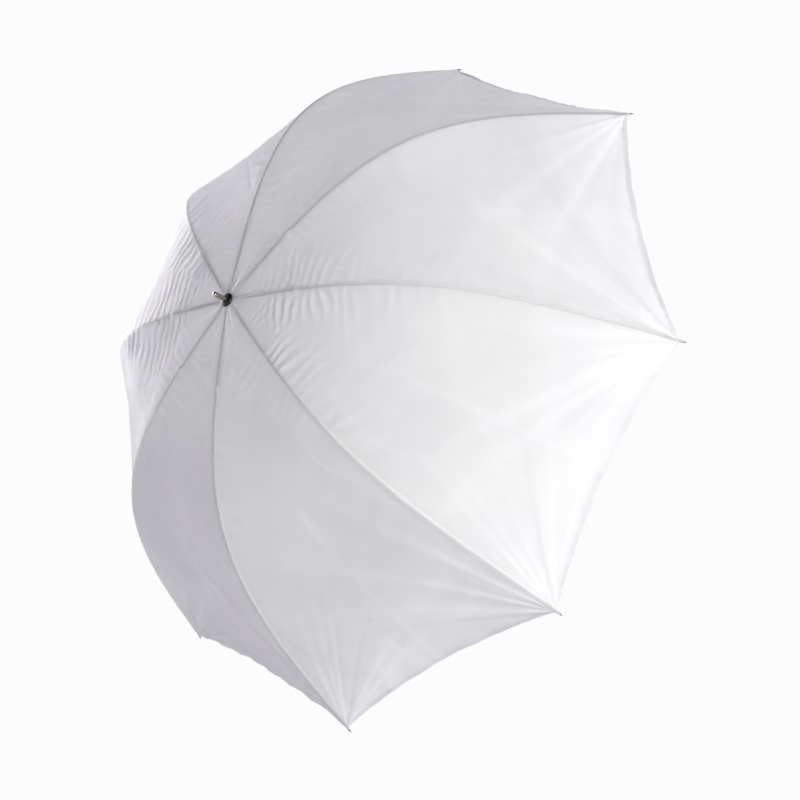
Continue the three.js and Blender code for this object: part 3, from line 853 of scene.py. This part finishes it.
# %% [markdown]
# ## Corner sleeves
#
# Where three thicknesses of cloth meet at a rib's tip, the corner is sewn into a small
# sleeve for the point. It is a flattened tube of the same nylon, wide where it leaves
# the canopy and narrow at the bead.

# %% Sew the corner sleeves
def corner_sleeve():
    """A grid bent round the point's stem, and flattened where it joins the canopy."""
    nylon = bmesh.new()
    bmesh.ops.create_grid(nylon, x_segments=28, y_segments=14, size=1)
    along = aim.normalized()
    inward = Vector((1, 0, 0)).cross(along)
    base = Vector((0, APEX_Y + TIP_FROM[1], TIP_FROM[0]))
    start, stop = -7 * MM, aim.length - 2.3 * MM
    for vertex in nylon.verts:
        angle, share = (vertex.co.x + 1) * math.pi, (vertex.co.y + 1) / 2
        half_width = (5.6 - 3.7 * share ** 0.6) * MM
        half_height = (1.2 + 0.4 * share) * MM
        pucker = 1 + 0.05 * math.sin(37 * share) + 0.05 * math.sin(3 * angle + 9 * share)
        x = half_width * math.cos(angle) * pucker
        y = half_height * math.sin(angle) * pucker - 0.3 * MM * (1 - share)
        vertex.co = base + along * (start + (stop - start) * share) + inward * y
        vertex.co.x = x
    bmesh.ops.remove_doubles(nylon, verts=nylon.verts, dist=1e-6)
    bmesh.ops.recalc_face_normals(nylon, faces=nylon.faces)
    return nylon


def map_cloth(piece):
    """Gives a small cloth piece the maps that the taffeta reads, away from any stitches."""
    mesh = piece.data
    for name in ("to_seam", "to_hem"):
        layer = mesh.attributes.new(name, "FLOAT", "POINT")
        layer.data.foreach_set("value", np.full(len(mesh.vertices), 1.0, np.float32))
    uv = mesh.uv_layers.new(name="cloth")
    for loop in mesh.loops:
        place = mesh.vertices[loop.vertex_index].co
        uv.data[loop.index].uv = (place.x, place.z)


first_sleeve = piece_from(corner_sleeve(), "corner_sleeve_1", taffeta, sharp_angle=180)
map_cloth(first_sleeve)
for number, sleeve in ring_of_copies(first_sleeve, "corner_sleeve"):
    wall = sleeve.modifiers.new("cloth_thickness", "SOLIDIFY")
    wall.thickness = CLOTH_THICKNESS
    wall.offset = -1
    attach(sleeve, f"rib_{number}")

# %% [markdown]
# ## Thread ties
#
# The canopy hangs on its ribs by a few turns of thread, hand-sewn through the seam
# allowance and round the channel. Each tie is three turns of thread, spun as a ring and
# pressed into a rectangle that clears the channel.

# %% Tie the ribs to the seams
TIES = [0.12, 0.30, 0.48]
THREAD = 0.22 * MM


def thread_ties():
    thread = bmesh.new()
    for place in TIES:
        for turn in (-1, 0, 1):
            length = place + turn * 0.5 * MM
            radius, depth = line_point(length, RIB_MIDDLE - 0.25 * MM)
            ahead = line_point(length + MM) - line_point(length - MM)
            along = Vector((0, ahead[1], ahead[0])).normalized()
            inward = Vector((1, 0, 0)).cross(along)
            loop = bmesh.ops.create_circle(thread, segments=6, radius=THREAD)["verts"]
            bmesh.ops.translate(thread, verts=loop, vec=(1, 0, 0))
            bmesh.ops.rotate(thread, verts=loop, cent=(1, 0, 0),
                             matrix=Matrix.Rotation(math.pi / 2, 3, "X"))
            edges = list({e for v in loop for e in v.link_edges})
            before = set(thread.verts) - set(loop)
            bmesh.ops.spin(thread, geom=loop + edges, axis=(0, 0, 1), cent=(0, 0, 0),
                           angle=2 * math.pi, steps=20, use_merge=True)
            centre = Vector((0, APEX_Y + depth, radius))
            for vertex in set(thread.verts) - before:
                angle = math.atan2(vertex.co.y, vertex.co.x)
                swell = math.hypot(vertex.co.x, vertex.co.y) - 1
                squeeze = (abs(math.cos(angle)) ** 5 + abs(math.sin(angle)) ** 5) ** -0.2
                x = (1.85 * MM * squeeze + swell) * math.cos(angle)
                y = (1.8 * MM * squeeze + swell) * math.sin(angle)
                vertex.co = centre + along * vertex.co.z + inward * y
                vertex.co.x = x
    bmesh.ops.recalc_face_normals(thread, faces=thread.faces)
    return thread


def spun_thread():
    """Twisted polyester: matt white, with its twist as fine slanting bands."""
    material, tree, output = new_material("white_polyester_thread")
    place = add_node(tree, "ShaderNodeTexCoord")
    twist = add_node(tree, "ShaderNodeTexWave", {"Scale": 1 / (0.35 * MM * 2 * math.pi)},
                     {0: place.outputs["Object"]}, bands_direction="DIAGONAL")
    relief = add_node(tree, "ShaderNodeBump", {"Strength": 0.6, "Distance": 0.06 * MM},
                      {"Height": twist.outputs["Fac"]})
    fibre = add_node(tree, "ShaderNodeBsdfPrincipled",
                     {"Base Color": linear("#E9E8EC"), "Roughness": 0.7, "IOR": 1.53,
                      "Sheen Weight": 0.3}, {"Normal": relief.outputs[0]})
    tree.links.new(fibre.outputs[0], output.inputs["Surface"])
    return material


first_ties = piece_from(thread_ties(), "thread_ties_1", spun_thread(), sharp_angle=180)
for number, ties in ring_of_copies(first_ties, "thread_ties"):
    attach(ties, f"rib_{number}")
print(len(TIES), "ties on each rib")

# %% [markdown]
# ## Ferrule and cup
#
# The ferrule is a plated rod with a rounded end, and the cup under it is a moulded disc
# that presses the cloth onto the crown. Both are spun from their outlines with enough
# steps for a clean highlight; the rod's shoulder is rolled in fine steps.

# %% Turn the ferrule and mould the cup
FERRULE = [(0, -26.2), (0.9, -26.1), (1.8, -25.75), (2.5, -25.2), (3.0, -24.5), (3.2, -23.8),
           (3.25, -23.2), (3.25, -22.8), (3.45, -22.6), (3.5, -22.3), (3.5, -20), (3.5, -10),
           (3.5, -1), (3.5, 0.6), (3.2, 1), (3.2, 17.6), (2.8, 18), (0, 18)]
CUP = [(3.8, -3.6), (3.8, -4.8), (4.0, -5), (5.4, -4.85), (6.4, -4.6), (7.3, -4.2), (8.2, -3.6),
       (8.9, -3.05), (9.35, -2.4), (9.58, -1.7), (9.62, -1.1), (9.55, -0.5), (9.3, -0.3),
       (8.1, -0.3), (8, -0.5), (7.8, -1.6), (6.8, -2.8), (5, -3.4), (3.8, -3.6)]


def on_shaft(outline, name, material, node, sharp_angle):
    """A turned part of the shaft, its heights counted from the apex, which stands for a node."""
    stock = spun([(r, -h) for r, h in outline], 64)
    turn = Matrix.Translation((0, APEX_Y, 0)) @ Matrix.Rotation(math.pi / 2, 4, "X")
    bmesh.ops.transform(stock, matrix=turn, verts=stock.verts)
    bmesh.ops.recalc_face_normals(stock, faces=stock.faces)
    part = piece_from(stock, name, material, sharp_angle=sharp_angle)
    stand_in(part, "root", node, slot_of[node])
    return part


rod = on_shaft(FERRULE, "turned_ferrule", chrome, "ferrule", 40)
on_shaft(CUP, "moulded_cup", polyamide, "top_cap", 50)
print("ferrule", [round(x / MM, 1) for x in rod.dimensions], "mm")

# %% [markdown]
# ## The other metal and plastic parts
#
# The shaft, hubs, stretchers and pins keep the frame's own shapes. Each is copied, its
# loose triangles are joined, and its edges get the small radius that a press or a mould
# leaves, because an edge with no radius never catches the light. The two hinge wires are
# spun afresh as round rings.

# %% Finish the frame's parts
EDGE_RADIUS = {"shaft_tube": 0.12, "crown": 0.25, "runner": 0.3, "top_catch": 0.15,
               "end_plug": 0.3, "stop_pin": 0.12, "catch_pin": 0.12}
for number in range(1, RIBS + 1):
    EDGE_RADIUS[f"stretcher_{number}"] = 0.1
    EDGE_RADIUS[f"joint_rivet_{number}"] = 0.18


def finished_copy(node, radius):
    """A joined and edged copy of one of the frame's parts."""
    solid = bmesh.new()
    solid.from_mesh(frame["nodes"][node].data)
    bmesh.ops.remove_doubles(solid, verts=solid.verts, dist=1e-6)
    bmesh.ops.dissolve_limit(solid, angle_limit=math.radians(0.5), verts=solid.verts,
                             edges=solid.edges)
    corners = [e for e in solid.edges if e.is_manifold and e.calc_face_angle(0) > math.radians(35)]
    bmesh.ops.bevel(solid, geom=corners, offset=radius * MM, affect="EDGES", segments=2,
                    profile=0.5, clamp_overlap=True, material=-1)
    copy = piece_from(solid, f"finished_{node}", FINISHES[slot_of[node]], sharp_angle=40)
    stand_in(copy, frame["nodes"][node]["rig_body"], node, slot_of[node])


for node, radius in EDGE_RADIUS.items():
    finished_copy(node, radius)
print(len(EDGE_RADIUS), "parts edged")

# %% Bend the hinge wires
def hinge_wire(node, name):
    low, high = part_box(node)
    radius = (high.x - low.x) / 2 - (high.y - low.y) / 2
    wire = bmesh.new()
    ring = bmesh.ops.create_circle(wire, segments=12, radius=0.6 * MM)["verts"]
    edges = list({e for v in ring for e in v.link_edges})
    bmesh.ops.translate(wire, verts=ring, vec=(radius, (low.y + high.y) / 2, 0))
    bmesh.ops.spin(wire, geom=ring + edges, axis=(0, 1, 0), cent=(0, (low.y + high.y) / 2, 0),
                   angle=2 * math.pi, steps=48, use_merge=True)
    bmesh.ops.recalc_face_normals(wire, faces=wire.faces)
    piece = piece_from(wire, name, FINISHES[slot_of[node]], sharp_angle=180)
    stand_in(piece, frame["nodes"][node]["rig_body"], node, slot_of[node])


hinge_wire("crown_wire", "crown_hinge_wire")
hinge_wire("runner_wire", "runner_hinge_wire")
print("hinge wires bent")

# %% [markdown]
# ## Studio
#
# The umbrella hangs at working height, far above a plain white floor that fills the
# view. Half of the light comes up from the floor and through the cloth. A softbox in
# front lights two of the panels, and one on the far side makes the left edge glow. Both
# are small enough for the wrinkles to show.

# %% Floor and light
FLOOR_DROP = 1.62
WHITE = "#FDFCFD"


def studio_floor():
    """Matt white paint that is lit evenly, as in an infinity cove, and seen a little
    overexposed, as such floors are."""
    material, tree, output = new_material("matt_white_floor_paint")
    place = add_node(tree, "ShaderNodeTexCoord")
    roller = add_node(tree, "ShaderNodeTexNoise", {"Scale": 60.0, "Detail": 3.0},
                      {0: place.outputs["Object"]})
    relief = add_node(tree, "ShaderNodeBump", {"Strength": 0.1, "Distance": 0.5 * MM},
                      {"Height": roller.outputs["Fac"]})
    paint = add_node(tree, "ShaderNodeBsdfDiffuse", {"Color": linear("#959496")},
                     {"Normal": relief.outputs[0]})
    cove = add_node(tree, "ShaderNodeEmission", {"Color": linear("#FFFFFF"), "Strength": 0.9})
    lit = add_node(tree, "ShaderNodeAddShader", links={0: paint.outputs[0], 1: cove.outputs[0]})
    seen = add_node(tree, "ShaderNodeEmission", {"Color": linear(WHITE), "Strength": 1.0})
    ray = add_node(tree, "ShaderNodeLightPath")
    choice = add_node(tree, "ShaderNodeMixShader",
                      links={0: ray.outputs["Is Camera Ray"], 1: lit.outputs[0],
                             2: seen.outputs[0]})
    tree.links.new(choice.outputs[0], output.inputs["Surface"])
    return material


ground = bmesh.new()
bmesh.ops.create_grid(ground, x_segments=8, y_segments=8, size=60)
bmesh.ops.translate(ground, verts=ground.verts, vec=(0, 0, -FLOOR_DROP))
floor = piece_from(ground, "studio_floor", studio_floor())
floor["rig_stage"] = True

world = bpy.data.worlds.new("studio_air")
bpy.context.scene.world = world
world.use_nodes = True
air = world.node_tree
air.nodes.clear()
ray = add_node(air, "ShaderNodeLightPath")
seen = add_node(air, "ShaderNodeBackground", {"Color": linear(WHITE), "Strength": 1.0})
lit = add_node(air, "ShaderNodeBackground", {"Color": linear("#E9E6F2"), "Strength": 0.03})
choice = add_node(air, "ShaderNodeMixShader", links={0: ray.outputs["Is Camera Ray"],
                                                     1: lit.outputs[0], 2: seen.outputs[0]})
add_node(air, "ShaderNodeOutputWorld", links={"Surface": choice.outputs[0]})


def softbox(name, place, size, power, target=(0, -0.45, 0), colour="#FFFFFF"):
    lamp = bpy.data.lights.new(name, "AREA")
    lamp.shape = "DISK"
    lamp.size = size
    lamp.energy = power
    lamp.color = linear(colour)[:3]
    holder = bpy.data.objects.new(name, lamp)
    bpy.context.scene.collection.objects.link(holder)
    holder.location = place
    aim_at = Vector(target) - Vector(place)
    holder.rotation_euler = aim_at.to_track_quat("-Z", "Y").to_euler()


softbox("key_softbox", (2.34, -1.38, 1.97), 0.9, 122, colour="#F9FFF1")
softbox("edge_softbox", (-2.0, -0.45, -0.93), 1.2, 62)
print("two softboxes and a floor", FLOOR_DROP, "m down")

# %% Camera
camera_data = bpy.data.cameras.new("studio_camera")
camera_data.lens = 111.25
camera_data.sensor_width = 36
camera_data.clip_end = 200
camera = bpy.data.objects.new("studio_camera", camera_data)
bpy.context.scene.collection.objects.link(camera)
camera.location = (2.525, -2.584, 0.968)
view_line = Vector((0.1044, -0.3782, 0.0168)) - camera.location
level = view_line.to_track_quat("-Z", "Y").to_matrix()
camera.rotation_euler = (level @ Matrix.Rotation(math.radians(39.49), 3, "Z")).to_euler()
bpy.context.scene.camera = camera
bpy.context.scene.view_settings.view_transform = "Standard"
print("camera", round(view_line.length, 2), "m from the canopy")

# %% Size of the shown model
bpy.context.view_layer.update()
triangles = sum(len(p.data.polygons) * 2 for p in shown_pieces() if p.type == "MESH")
print("about", triangles, "triangles before thickness")
